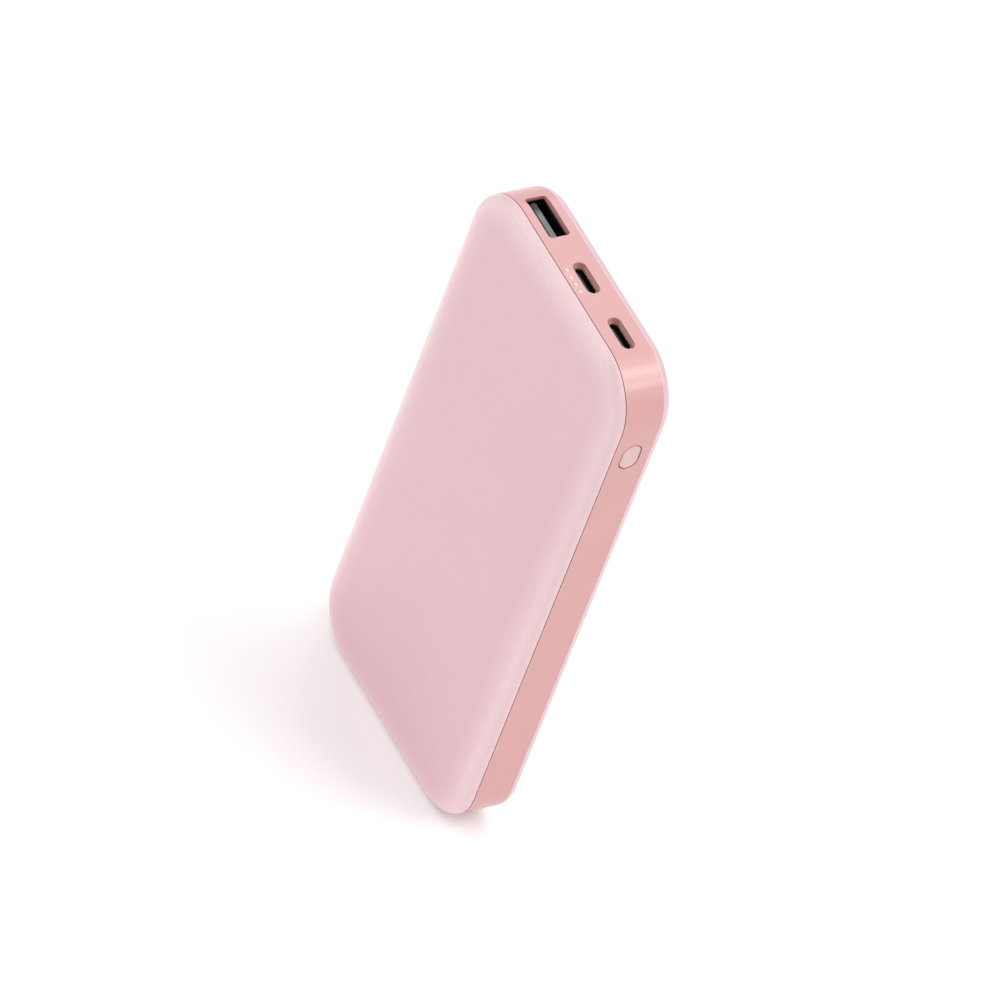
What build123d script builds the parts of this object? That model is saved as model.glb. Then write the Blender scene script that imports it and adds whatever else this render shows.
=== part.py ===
from build123d import *
import os
from math import asin, cos, radians, sin

# ---------------------------------------------------------------------------
# Slim power bank: two soft-edged cover shells on a coloured side frame, with
# one USB-A and two USB-C sockets and four charge lights on the top end, and a
# push button high on the right side.
#
# Frame: X is the width, Y the thickness (front face towards -Y), Z the length.
# The origin is at the middle of the bottom end, and the sockets are at the top.
# All sizes are in millimetres.
# ---------------------------------------------------------------------------

# overall body
WIDTH = 73.0
LENGTH = 160.0
THICKNESS = 18.0
CORNER_R = 14.5            # corner radius of the outline
EDGE_INSET = 12.0          # soft edge of both cover shells, in from the outline
EDGE_TURN = (62.4, 83.1, 90.0)  # the soft edge is three tangent arcs: turn at the end of each
CROWN_R = 58.0             # last and flattest of the three arcs
FRONT_DEPTH = 3.7          # front face to front seam
BACK_DEPTH = 3.9           # back face to back seam
WALL = 1.6                 # cover shells
FRAME_WALL = 2.0           # side frame
SHADOW_GAP = 0.18          # groove at the front seam
SHADOW_W = 0.6

Y_FRONT = -THICKNESS / 2
Y_BACK = THICKNESS / 2
SEAM_F = Y_FRONT + FRONT_DEPTH
SEAM_B = Y_BACK - BACK_DEPTH
Z_MID = LENGTH / 2

# inner lip of the covers, seated inside the frame
LIP_OUT = 2.1
LIP_IN = 3.0
LIP_LEN = 1.1
CLIP_Z = (30.0, 66.0, 102.0)   # snap hooks along each long side
CLIP_LEN = 6.0

# sockets
PORT_Y = 0.0
USB_A_X = -19.7
USB_C1_X = 0.25
USB_C2_X = 18.0
A_CUT = (13.2, 5.7)
C_CUT = (9.8, 3.5)
C_THROAT = (9.12, 3.44)
MOUTH_Z = LENGTH - 1.4     # where the metal shells end
A_SHELL = (13.0, 5.5, 13.4)    # width, height, length
C_SHELL = (8.94, 3.26, 9.2)
SHELL_T = 0.3

# charge lights
LED_Y = -3.45
LED_X0 = -3.15
LED_PITCH = 2.3
LED_HOLE_R = 0.66
LED_PIP_R = 0.62

# push button on the right side
BTN_Z = 136.8
BTN_Y = -0.1
BTN_W = 5.0
BTN_L = 7.8
BTN_GAP = 0.15
BTN_TRAVEL = 0.3

# main board
PCB_T = 1.2
PCB_FRONT = PORT_Y + C_SHELL[1] / 2
PCB_BACK = PCB_FRONT + PCB_T
PCB_Z0 = 134.0
PCB_Z1 = 157.4
PCB_HALF_W = 32.9

# pouch cells
CELL_T = 7.0
CELL_W = 64.0
CELL_Z0 = 10.0
CELL_Z1 = 126.0
TAPE_T = 0.2

os.makedirs("parts", exist_ok=True)


def at_y(y):
    """Sketch plane across the thickness at height y: x is X, y is Z, and a positive extrusion runs towards the front."""
    return Plane.XZ.offset(-y)


def edge_radii(inset, rise):
    """Radii of the three arcs that run from the seam, inset and rise away, to the flat face."""
    c1, s1 = cos(radians(EDGE_TURN[0])), sin(radians(EDGE_TURN[0]))
    c2, s2 = cos(radians(EDGE_TURN[1])), sin(radians(EDGE_TURN[1]))
    a = inset - CROWN_R * c2
    b = rise - CROWN_R * (1 - s2)
    det = (1 - c1) * (s2 - s1) - (c1 - c2) * s1
    return (
        (a * (s2 - s1) - b * (c1 - c2)) / det,
        ((1 - c1) * b - s1 * a) / det,
        CROWN_R,
    )


def edge_points(radii, up):
    """Start, middle and end points of the arcs, as (distance in from the outline, height above the seam)."""
    x, y, turned = 0.0, 0.0, 0.0
    points = [(x, y)]
    for r, turn in zip(radii, EDGE_TURN):
        for t in ((turned + turn) / 2, turn):
            points.append(
                (
                    x + r * (cos(radians(turned)) - cos(radians(t))),
                    y + up * r * (sin(radians(t)) - sin(radians(turned))),
                )
            )
        (x, y), turned = points[-1], turn
    return points


FRONT_RADII = edge_radii(EDGE_INSET, FRONT_DEPTH)
BACK_RADII = edge_radii(EDGE_INSET, BACK_DEPTH)
FRONT_EDGE = edge_points(FRONT_RADII, 1)
FRONT_INNER_EDGE = edge_points([r - WALL for r in FRONT_RADII], 1)
BACK_EDGE = edge_points(BACK_RADII, -1)
BACK_INNER_EDGE = edge_points([r - WALL for r in BACK_RADII], -1)


# ---------------------------------------------------------------------------
# cover shells: a flat middle inside a swept soft edge
# ---------------------------------------------------------------------------
VOID_INSET = EDGE_INSET - WALL

with BuildSketch(at_y(SEAM_F)) as front_outline:
    with Locations((0, Z_MID)):
        RectangleRounded(WIDTH, LENGTH, CORNER_R)
front_path = front_outline.sketch.face().outer_wire()
front_start = Plane(origin=front_path @ 0, x_dir=(1, 0, 0), z_dir=front_path % 0)

with BuildSketch(at_y(SEAM_F)) as front_inner_outline:
    with Locations((0, Z_MID)):
        RectangleRounded(WIDTH - 2 * WALL, LENGTH - 2 * WALL, CORNER_R - WALL)
front_inner_path = front_inner_outline.sketch.face().outer_wire()
front_inner_start = Plane(
    origin=front_inner_path @ 0, x_dir=(1, 0, 0), z_dir=front_inner_path % 0
)

with BuildPart() as front_void:
    with BuildSketch(front_inner_start):
        with BuildLine():
            for k in (0, 2, 4):
                ThreePointArc(*FRONT_INNER_EDGE[k : k + 3])
            Polyline(FRONT_INNER_EDGE[-1], (VOID_INSET, 0), (0, 0))
        make_face()
    sweep(path=front_inner_path)
    with BuildSketch(at_y(SEAM_F)):
        with Locations((0, Z_MID)):
            RectangleRounded(
                WIDTH - 2 * (WALL + VOID_INSET),
                LENGTH - 2 * (WALL + VOID_INSET),
                CORNER_R - WALL - VOID_INSET,
            )
    extrude(amount=FRONT_DEPTH - WALL)

with BuildPart() as front_cover:
    with BuildSketch(front_start):
        with BuildLine():
            for k in (0, 2, 4):
                ThreePointArc(*FRONT_EDGE[k : k + 3])
            Polyline(FRONT_EDGE[-1], (EDGE_INSET, 0), (0, 0))
        make_face()
    sweep(path=front_path)
    with BuildSketch(at_y(SEAM_F)):
        with Locations((0, Z_MID)):
            RectangleRounded(
                WIDTH - 2 * EDGE_INSET, LENGTH - 2 * EDGE_INSET, CORNER_R - EDGE_INSET
            )
    extrude(amount=FRONT_DEPTH)
    add(front_void.part, mode=Mode.SUBTRACT)
    # thick rim that sits on the frame
    with BuildSketch(at_y(SEAM_F)):
        with Locations((0, Z_MID)):
            RectangleRounded(WIDTH - 2.4, LENGTH - 2.4, CORNER_R - 1.2)
            RectangleRounded(
                WIDTH - 2 * LIP_IN,
                LENGTH - 2 * LIP_IN,
                CORNER_R - LIP_IN,
                mode=Mode.SUBTRACT,
            )
    extrude(amount=1.7)
    # lip that locates the cover inside the frame
    with BuildSketch(at_y(SEAM_F)):
        with Locations((0, Z_MID)):
            RectangleRounded(
                WIDTH - 2 * LIP_OUT, LENGTH - 2 * LIP_OUT, CORNER_R - LIP_OUT
            )
            RectangleRounded(
                WIDTH - 2 * LIP_IN,
                LENGTH - 2 * LIP_IN,
                CORNER_R - LIP_IN,
                mode=Mode.SUBTRACT,
            )
    extrude(amount=-LIP_LEN)
    # snap hooks: a tab with a catch that points outwards
    for side in (-1, 1):
        for z in CLIP_Z:
            with Locations(
                (
                    side * (WIDTH / 2 - (LIP_OUT + LIP_IN) / 2),
                    SEAM_F + LIP_LEN / 2 + 1.2,
                    z,
                )
            ):
                Box(LIP_IN - LIP_OUT, LIP_LEN + 1.6, CLIP_LEN)
            with Locations((side * (WIDTH / 2 - LIP_OUT + 0.15), SEAM_F + 2.2, z)):
                Box(0.5, 0.5, CLIP_LEN)
front_cover.part.label = "front_cover"
front_cover.part.color = Color(0.90, 0.77, 0.80)

with BuildSketch(at_y(SEAM_B)) as back_outline:
    with Locations((0, Z_MID)):
        RectangleRounded(WIDTH, LENGTH, CORNER_R)
back_path = back_outline.sketch.face().outer_wire()
back_start = Plane(origin=back_path @ 0, x_dir=(1, 0, 0), z_dir=back_path % 0)

with BuildSketch(at_y(SEAM_B)) as back_inner_outline:
    with Locations((0, Z_MID)):
        RectangleRounded(WIDTH - 2 * WALL, LENGTH - 2 * WALL, CORNER_R - WALL)
back_inner_path = back_inner_outline.sketch.face().outer_wire()
back_inner_start = Plane(
    origin=back_inner_path @ 0, x_dir=(1, 0, 0), z_dir=back_inner_path % 0
)

with BuildPart() as back_void:
    with BuildSketch(back_inner_start):
        with BuildLine():
            for k in (0, 2, 4):
                ThreePointArc(*BACK_INNER_EDGE[k : k + 3])
            Polyline(BACK_INNER_EDGE[-1], (VOID_INSET, 0), (0, 0))
        make_face()
    sweep(path=back_inner_path)
    with BuildSketch(at_y(SEAM_B)):
        with Locations((0, Z_MID)):
            RectangleRounded(
                WIDTH - 2 * (WALL + VOID_INSET),
                LENGTH - 2 * (WALL + VOID_INSET),
                CORNER_R - WALL - VOID_INSET,
            )
    extrude(amount=WALL - BACK_DEPTH)

BOSSES = ((-29.4, 139.0), (25.6, 143.6))
with BuildPart() as back_cover:
    with BuildSketch(back_start):
        with BuildLine():
            for k in (0, 2, 4):
                ThreePointArc(*BACK_EDGE[k : k + 3])
            Polyline(BACK_EDGE[-1], (EDGE_INSET, 0), (0, 0))
        make_face()
    sweep(path=back_path)
    with BuildSketch(at_y(SEAM_B)):
        with Locations((0, Z_MID)):
            RectangleRounded(
                WIDTH - 2 * EDGE_INSET, LENGTH - 2 * EDGE_INSET, CORNER_R - EDGE_INSET
            )
    extrude(amount=-BACK_DEPTH)
    add(back_void.part, mode=Mode.SUBTRACT)
    # screw bosses under the main board
    with BuildSketch(at_y(Y_BACK - WALL + 0.5)):
        with Locations(*BOSSES):
            Circle(2.3)
    extrude(amount=Y_BACK - WALL + 0.5 - PCB_BACK)
    with BuildSketch(at_y(SEAM_B)):
        with Locations((0, Z_MID)):
            RectangleRounded(WIDTH - 2.4, LENGTH - 2.4, CORNER_R - 1.2)
            RectangleRounded(
                WIDTH - 2 * LIP_IN,
                LENGTH - 2 * LIP_IN,
                CORNER_R - LIP_IN,
                mode=Mode.SUBTRACT,
            )
    extrude(amount=-1.7)
    with BuildSketch(at_y(SEAM_B)):
        with Locations((0, Z_MID)):
            RectangleRounded(
                WIDTH - 2 * LIP_OUT, LENGTH - 2 * LIP_OUT, CORNER_R - LIP_OUT
            )
            RectangleRounded(
                WIDTH - 2 * LIP_IN,
                LENGTH - 2 * LIP_IN,
                CORNER_R - LIP_IN,
                mode=Mode.SUBTRACT,
            )
    extrude(amount=LIP_LEN)
    for side in (-1, 1):
        for z in CLIP_Z:
            with Locations(
                (
                    side * (WIDTH / 2 - (LIP_OUT + LIP_IN) / 2),
                    SEAM_B - LIP_LEN / 2 - 1.2,
                    z,
                )
            ):
                Box(LIP_IN - LIP_OUT, LIP_LEN + 1.6, CLIP_LEN)
            with Locations((side * (WIDTH / 2 - LIP_OUT + 0.15), SEAM_B - 2.2, z)):
                Box(0.5, 0.5, CLIP_LEN)
    # pilot holes for the board screws
    with BuildSketch(at_y(PCB_BACK)):
        with Locations(*BOSSES):
            Circle(0.85)
    extrude(amount=-4.0, mode=Mode.SUBTRACT)
back_cover.part.label = "back_cover"
back_cover.part.color = Color(0.93, 0.80, 0.82)


# ---------------------------------------------------------------------------
# side frame
# ---------------------------------------------------------------------------
with BuildPart() as side_frame:
    with BuildSketch(at_y(SEAM_B)):
        with Locations((0, Z_MID)):
            RectangleRounded(WIDTH, LENGTH, CORNER_R)
            RectangleRounded(
                WIDTH - 2 * FRAME_WALL,
                LENGTH - 2 * FRAME_WALL,
                CORNER_R - FRAME_WALL,
                mode=Mode.SUBTRACT,
            )
    extrude(amount=SEAM_B - SEAM_F)
    # shadow gap at the front seam
    with BuildSketch(at_y(SEAM_F + SHADOW_GAP)):
        with Locations((0, Z_MID)):
            RectangleRounded(WIDTH + 1, LENGTH + 1, CORNER_R + 0.5)
            RectangleRounded(
                WIDTH - 2 * SHADOW_W,
                LENGTH - 2 * SHADOW_W,
                CORNER_R - SHADOW_W,
                mode=Mode.SUBTRACT,
            )
    extrude(amount=SHADOW_GAP + 0.5, mode=Mode.SUBTRACT)
    # USB-A opening, straight through the wall
    with BuildSketch(Plane.XY.offset(LENGTH + 0.5)):
        with Locations((USB_A_X, PORT_Y)):
            RectangleRounded(*A_CUT, 0.9)
    extrude(amount=-4.5, mode=Mode.SUBTRACT)
    # USB-C openings: a recess, then a throat round the metal shell
    with BuildSketch(Plane.XY.offset(LENGTH + 0.5)):
        with Locations((USB_C1_X, PORT_Y), (USB_C2_X, PORT_Y)):
            SlotOverall(*C_CUT)
    extrude(amount=-1.8, mode=Mode.SUBTRACT)
    with BuildSketch(Plane.XY.offset(LENGTH)):
        with Locations((USB_C1_X, PORT_Y), (USB_C2_X, PORT_Y)):
            SlotOverall(*C_THROAT)
    extrude(amount=-3, mode=Mode.SUBTRACT)
    # four holes for the charge lights
    with BuildSketch(Plane.XY.offset(LENGTH + 0.5)):
        with Locations(*[(LED_X0 + i * LED_PITCH, LED_Y) for i in range(4)]):
            Circle(LED_HOLE_R)
    extrude(amount=-3, mode=Mode.SUBTRACT)
    # button opening
    with BuildSketch(Plane.YZ.offset(WIDTH / 2 + 0.5)):
        with Locations((BTN_Y, BTN_Z)):
            SlotOverall(BTN_L + 2 * BTN_GAP, BTN_W + 2 * BTN_GAP, rotation=90)
    extrude(amount=-3, mode=Mode.SUBTRACT)
    # pockets for the snap hooks of both covers
    for side in (-1, 1):
        for z in CLIP_Z:
            for y in (SEAM_F + 2.2, SEAM_B - 2.2):
                with Locations((side * (WIDTH / 2 - FRAME_WALL + 0.1), y, z)):
                    Box(0.9, 0.8, CLIP_LEN + 0.6, mode=Mode.SUBTRACT)
    # two inner rails that keep the button from turning
    for dz in (-6.3, 6.3):
        with Locations((WIDTH / 2 - FRAME_WALL - 0.5, BTN_Y, BTN_Z + dz)):
            Box(1.2, 5.0, 1.2)
    # soften the mouths of the openings
    fillet(
        side_frame.edges()
        .filter_by_position(Axis.Z, LENGTH - 0.001, LENGTH + 0.001)
        .filter_by_position(Axis.X, USB_C1_X - 6, USB_C2_X + 6)
        .filter_by_position(Axis.Y, -2.2, 2.2),
        radius=0.16,
    )
side_frame.part.label = "side_frame"
side_frame.part.color = Color(0.89, 0.65, 0.65)


# ---------------------------------------------------------------------------
# push button and its switch
# ---------------------------------------------------------------------------
BTN_STOP_X = WIDTH / 2 - FRAME_WALL - 0.05   # flange rests behind the frame wall
FLANGE_T = 0.8
PLUNGER_X = 33.05
with BuildPart() as power_button:
    with BuildSketch(Plane.YZ.offset(BTN_STOP_X)):
        with Locations((BTN_Y, BTN_Z)):
            SlotOverall(BTN_L + 2.4, BTN_W + 2.2, rotation=90)
    extrude(amount=-FLANGE_T)
    with BuildSketch(Plane.YZ.offset(BTN_STOP_X)):
        with Locations((BTN_Y, BTN_Z)):
            SlotOverall(BTN_L, BTN_W, rotation=90)
    extrude(amount=WIDTH / 2 - BTN_STOP_X)
    fillet(power_button.faces().sort_by(Axis.X)[-1].edges(), radius=0.35)
    with BuildSketch(Plane.YZ.offset(BTN_STOP_X - FLANGE_T)):
        with Locations((BTN_Y, BTN_Z)):
            Circle(1.3)
    extrude(amount=-(BTN_STOP_X - FLANGE_T - PLUNGER_X))
power_button.part.label = "power_button"
power_button.part.color = Color(0.91, 0.74, 0.73)

SW_X0 = 28.0
SW_X1 = 31.4
SW_H = 4.6
with BuildPart() as switch_body:
    with Locations(
        ((SW_X0 + SW_X1) / 2, (PCB_FRONT - 1.85) / 2, BTN_Z)
    ):
        Box(SW_X1 - SW_X0, PCB_FRONT + 1.85, SW_H)
    fillet(switch_body.edges().filter_by(Axis.X), radius=0.25)
    with Locations((SW_X1, BTN_Y, BTN_Z)):
        Box(2.6, 2.5, 3.6, mode=Mode.SUBTRACT)
switch_body.part.label = "switch_body"
switch_body.part.color = Color(0.1, 0.1, 0.11)

with BuildPart() as switch_retainer:
    with Locations((SW_X1 + 0.1, (PCB_FRONT - 1.85) / 2, BTN_Z)):
        Box(0.2, PCB_FRONT + 1.85, SW_H)
    for side in (-1, 1):
        with Locations(
            ((SW_X0 + SW_X1) / 2 + 0.1, (PCB_FRONT - 1.85) / 2, BTN_Z + side * (SW_H / 2 + 0.1))
        ):
            Box(SW_X1 - SW_X0 + 0.2, 1.6, 0.2)
    with Locations((SW_X1 + 0.1, BTN_Y, BTN_Z)):
        Box(1.0, 1.9, 2.6, mode=Mode.SUBTRACT)
switch_retainer.part.label = "switch_retainer"
switch_retainer.part.color = Color(0.75, 0.75, 0.77)

with BuildPart() as switch_plunger:
    with Locations(((SW_X1 - 0.35), BTN_Y, BTN_Z)):
        Box(0.4, 2.2, 3.2)
    with Locations(((SW_X1 - 0.2 + PLUNGER_X) / 2, BTN_Y, BTN_Z)):
        Box(PLUNGER_X - SW_X1 + 0.2, 1.6, 2.2)
    fillet(switch_plunger.edges().filter_by(Axis.X).group_by(SortBy.LENGTH)[-1], radius=0.3)
switch_plunger.part.label = "switch_plunger"
switch_plunger.part.color = Color(0.92, 0.92, 0.9)

# snap dome: a shallow spherical cap, 0.1 thick, crown against the plunger
DOME_CROWN_X = SW_X1 - 0.55
DOME_R = 1.15
DOME_RISE = 0.4
DOME_T = 0.1
DOME_BALL = (DOME_R**2 + DOME_RISE**2) / (2 * DOME_RISE)
DOME_C = DOME_CROWN_X - DOME_BALL
DOME_A = asin(DOME_R / DOME_BALL)
with BuildPart() as switch_dome:
    with BuildSketch(Plane((0, BTN_Y, BTN_Z), x_dir=(1, 0, 0), z_dir=(0, 0, 1))):
        with BuildLine():
            ThreePointArc(
                (DOME_C + DOME_BALL, 0),
                (
                    DOME_C + DOME_BALL * cos(DOME_A / 2),
                    DOME_BALL * sin(DOME_A / 2),
                ),
                (DOME_C + DOME_BALL * cos(DOME_A), DOME_R),
            )
            Line(
                (DOME_C + DOME_BALL * cos(DOME_A), DOME_R),
                (
                    DOME_C + (DOME_BALL - DOME_T) * cos(DOME_A),
                    (DOME_BALL - DOME_T) * sin(DOME_A),
                ),
            )
            ThreePointArc(
                (
                    DOME_C + (DOME_BALL - DOME_T) * cos(DOME_A),
                    (DOME_BALL - DOME_T) * sin(DOME_A),
                ),
                (
                    DOME_C + (DOME_BALL - DOME_T) * cos(DOME_A / 2),
                    (DOME_BALL - DOME_T) * sin(DOME_A / 2),
                ),
                (DOME_C + DOME_BALL - DOME_T, 0),
            )
            Line((DOME_C + DOME_BALL - DOME_T, 0), (DOME_C + DOME_BALL, 0))
        make_face()
    revolve(axis=Axis((0, BTN_Y, BTN_Z), (1, 0, 0)))
switch_dome.part.label = "switch_dome"
switch_dome.part.color = Color(0.8, 0.8, 0.82)


# ---------------------------------------------------------------------------
# charge lights: four emitters on the board and one clear guide
# ---------------------------------------------------------------------------
GUIDE_Z0 = 145.5
GUIDE_Z1 = 156.6
GUIDE_X0 = LED_X0 - 1.3
GUIDE_X1 = LED_X0 + 3 * LED_PITCH + 1.3
with BuildPart() as light_guide:
    # plate that runs up in front of the socket
    with Locations(
        ((GUIDE_X0 + GUIDE_X1) / 2, LED_Y, (GUIDE_Z0 + GUIDE_Z1) / 2)
    ):
        Box(GUIDE_X1 - GUIDE_X0, 1.5, GUIDE_Z1 - GUIDE_Z0)
    # foot that collects the light, cut at 45 degrees to turn it upwards
    with Locations(((GUIDE_X0 + GUIDE_X1) / 2, (LED_Y + 0.85) / 2, GUIDE_Z0 + 0.8)):
        Box(GUIDE_X1 - GUIDE_X0, 0.85 - LED_Y, 1.6)
    chamfer(
        light_guide.edges()
        .filter_by(Axis.X)
        .group_by(Axis.Z)[0]
        .sort_by(Axis.Y)[0],
        length=1.3,
    )
    # slits that keep the four lights apart
    with Locations(
        *[
            (LED_X0 + (i + 0.5) * LED_PITCH, LED_Y, (GUIDE_Z0 + GUIDE_Z1) / 2 + 1.0)
            for i in range(3)
        ]
    ):
        Box(0.5, 3, GUIDE_Z1 - GUIDE_Z0 - 6.0, mode=Mode.SUBTRACT)
    # pips that fill the holes in the frame
    with BuildSketch(Plane.XY.offset(GUIDE_Z1)):
        with Locations(*[(LED_X0 + i * LED_PITCH, LED_Y) for i in range(4)]):
            Circle(LED_PIP_R)
    extrude(amount=LENGTH - 0.05 - GUIDE_Z1)
light_guide.part.label = "light_guide"
light_guide.part.color = Color(0.97, 0.95, 0.94)

with BuildPart() as status_leds:
    with Locations(
        *[(LED_X0 + i * LED_PITCH, PCB_FRONT - 0.15, 146.3) for i in range(4)]
    ):
        Box(0.8, 0.3, 1.6)
    with Locations(
        *[(LED_X0 + i * LED_PITCH, PCB_FRONT - 0.45, 146.3) for i in range(4)]
    ):
        Box(0.7, 0.3, 1.1)
status_leds.part.label = "status_leds"
status_leds.part.color = Color(0.96, 0.93, 0.8)


# ---------------------------------------------------------------------------
# USB-A socket
# ---------------------------------------------------------------------------
A_Z0 = MOUTH_Z - A_SHELL[2]
TONGUE_A_Y0 = PORT_Y - A_SHELL[1] / 2 + SHELL_T + 0.9
TONGUE_A_TIP_Z = MOUTH_Z - 0.15
TONGUE_A_T = 1.84
with BuildPart() as usb_a_shell:
    with BuildSketch(Plane.XY.offset(A_Z0)):
        with Locations((USB_A_X, PORT_Y)):
            RectangleRounded(A_SHELL[0], A_SHELL[1], 0.7)
    extrude(amount=A_SHELL[2])
    with BuildSketch(Plane.XY.offset(A_Z0 + SHELL_T)):
        with Locations((USB_A_X, PORT_Y)):
            RectangleRounded(A_SHELL[0] - 2 * SHELL_T, A_SHELL[1] - 2 * SHELL_T, 0.4)
    extrude(amount=A_SHELL[2], mode=Mode.SUBTRACT)
usb_a_shell.part.label = "usb_a_shell"
usb_a_shell.part.color = Color(0.72, 0.72, 0.74)

with BuildPart() as usb_a_tongue:
    with BuildSketch(Plane.XY.offset(A_Z0 + SHELL_T)):
        with Locations((USB_A_X, PORT_Y)):
            RectangleRounded(
                A_SHELL[0] - 2 * SHELL_T - 0.1, A_SHELL[1] - 2 * SHELL_T - 0.1, 0.4
            )
    extrude(amount=2.6)
    with Locations(
        (
            USB_A_X,
            TONGUE_A_Y0 + TONGUE_A_T / 2,
            (A_Z0 + SHELL_T + 2.6 + TONGUE_A_TIP_Z) / 2,
        )
    ):
        Box(11.1, TONGUE_A_T, TONGUE_A_TIP_Z - (A_Z0 + SHELL_T + 2.6))
    chamfer(
        usb_a_tongue.faces().sort_by(Axis.Z)[-1].edges().filter_by(Axis.X),
        length=0.25,
    )
usb_a_tongue.part.label = "usb_a_tongue"
usb_a_tongue.part.color = Color(0.45, 0.47, 0.46)

with BuildPart() as usb_a_contacts:
    with Locations(
        *[
            (
                USB_A_X + dx,
                TONGUE_A_Y0 + TONGUE_A_T + 0.09,
                TONGUE_A_TIP_Z - 0.8 - 3.6,
            )
            for dx in (-3.5, -1.0, 1.0, 3.5)
        ]
    ):
        Box(1.1, 0.18, 7.2)
usb_a_contacts.part.label = "usb_a_contacts"
usb_a_contacts.part.color = Color(0.85, 0.68, 0.35)


# ---------------------------------------------------------------------------
# two USB-C sockets
# ---------------------------------------------------------------------------
C_MOUTH_Z = LENGTH - 1.5
C_Z0 = C_MOUTH_Z - C_SHELL[2]
C_TIP_Z = C_MOUTH_Z - 0.6
C_TONGUE = (6.69, 0.7)
PIN_DX = [(-2.75 + 0.5 * i) for i in range(12)]

with BuildPart() as usb_c_1_shell:
    with BuildSketch(Plane.XY.offset(C_Z0)):
        with Locations((USB_C1_X, PORT_Y)):
            SlotOverall(C_SHELL[0], C_SHELL[1])
    extrude(amount=C_SHELL[2])
    with BuildSketch(Plane.XY.offset(C_Z0 + SHELL_T)):
        with Locations((USB_C1_X, PORT_Y)):
            SlotOverall(C_SHELL[0] - 0.6, C_SHELL[1] - 0.6)
    extrude(amount=C_SHELL[2], mode=Mode.SUBTRACT)
usb_c_1_shell.part.label = "usb_c_1_shell"
usb_c_1_shell.part.color = Color(0.72, 0.72, 0.74)

with BuildPart() as usb_c_1_tongue:
    with BuildSketch(Plane.XY.offset(C_Z0 + SHELL_T)):
        with Locations((USB_C1_X, PORT_Y)):
            SlotOverall(C_SHELL[0] - 0.7, C_SHELL[1] - 0.7)
    extrude(amount=2.2)
    with BuildSketch(Plane.XY.offset(C_Z0 + SHELL_T + 2.2)):
        with Locations((USB_C1_X, PORT_Y)):
            Rectangle(*C_TONGUE)
    extrude(amount=C_TIP_Z - C_Z0 - SHELL_T - 2.2)
    fillet(
        usb_c_1_tongue.faces().sort_by(Axis.Z)[-1].edges().filter_by(Axis.X),
        radius=0.2,
    )
usb_c_1_tongue.part.label = "usb_c_1_tongue"
usb_c_1_tongue.part.color = Color(0.08, 0.08, 0.09)

with BuildPart() as usb_c_1_contacts:
    with Locations(
        *[
            (USB_C1_X + dx, PORT_Y + s * (C_TONGUE[1] / 2 + 0.03), C_TIP_Z - 0.5 - 2.0)
            for dx in PIN_DX
            for s in (-1, 1)
        ]
    ):
        Box(0.27, 0.06, 4.0)
usb_c_1_contacts.part.label = "usb_c_1_contacts"
usb_c_1_contacts.part.color = Color(0.85, 0.68, 0.35)

with BuildPart() as usb_c_2_shell:
    with BuildSketch(Plane.XY.offset(C_Z0)):
        with Locations((USB_C2_X, PORT_Y)):
            SlotOverall(C_SHELL[0], C_SHELL[1])
    extrude(amount=C_SHELL[2])
    with BuildSketch(Plane.XY.offset(C_Z0 + SHELL_T)):
        with Locations((USB_C2_X, PORT_Y)):
            SlotOverall(C_SHELL[0] - 0.6, C_SHELL[1] - 0.6)
    extrude(amount=C_SHELL[2], mode=Mode.SUBTRACT)
usb_c_2_shell.part.label = "usb_c_2_shell"
usb_c_2_shell.part.color = Color(0.72, 0.72, 0.74)

with BuildPart() as usb_c_2_tongue:
    with BuildSketch(Plane.XY.offset(C_Z0 + SHELL_T)):
        with Locations((USB_C2_X, PORT_Y)):
            SlotOverall(C_SHELL[0] - 0.7, C_SHELL[1] - 0.7)
    extrude(amount=2.2)
    with BuildSketch(Plane.XY.offset(C_Z0 + SHELL_T + 2.2)):
        with Locations((USB_C2_X, PORT_Y)):
            Rectangle(*C_TONGUE)
    extrude(amount=C_TIP_Z - C_Z0 - SHELL_T - 2.2)
    fillet(
        usb_c_2_tongue.faces().sort_by(Axis.Z)[-1].edges().filter_by(Axis.X),
        radius=0.2,
    )
usb_c_2_tongue.part.label = "usb_c_2_tongue"
usb_c_2_tongue.part.color = Color(0.08, 0.08, 0.09)

with BuildPart() as usb_c_2_contacts:
    with Locations(
        *[
            (USB_C2_X + dx, PORT_Y + s * (C_TONGUE[1] / 2 + 0.03), C_TIP_Z - 0.5 - 2.0)
            for dx in PIN_DX
            for s in (-1, 1)
        ]
    ):
        Box(0.27, 0.06, 4.0)
usb_c_2_contacts.part.label = "usb_c_2_contacts"
usb_c_2_contacts.part.color = Color(0.85, 0.68, 0.35)


# ---------------------------------------------------------------------------
# main board and what stands on it
# ---------------------------------------------------------------------------
with BuildPart() as main_board:
    with BuildSketch(at_y(PCB_BACK)):
        with Locations((0, (PCB_Z0 + PCB_Z1) / 2)):
            Rectangle(2 * PCB_HALF_W, PCB_Z1 - PCB_Z0)
        fillet(vertices().group_by(Axis.Y)[-1], radius=11.2)
        fillet(vertices().group_by(Axis.Y)[0], radius=1.0)
        # notch that the USB-A socket sinks into
        with Locations((USB_A_X, (A_Z0 + 165) / 2)):
            Rectangle(A_SHELL[0] + 0.4, 165 - A_Z0 + 0.4, mode=Mode.SUBTRACT)
        with Locations(*BOSSES):
            Circle(1.1, mode=Mode.SUBTRACT)
    extrude(amount=PCB_T)
main_board.part.label = "main_board"
main_board.part.color = Color(0.05, 0.25, 0.14)


with BuildPart() as charge_controller:
    with Locations((9.4, PCB_FRONT - 0.45, 144.6)):
        Box(5.0, 0.9, 5.0)
    with Locations((-8.6, PCB_FRONT - 0.45, 146.6)):
        Box(4.0, 0.9, 4.0)
charge_controller.part.label = "charge_controllers"
charge_controller.part.color = Color(0.07, 0.07, 0.08)

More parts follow.
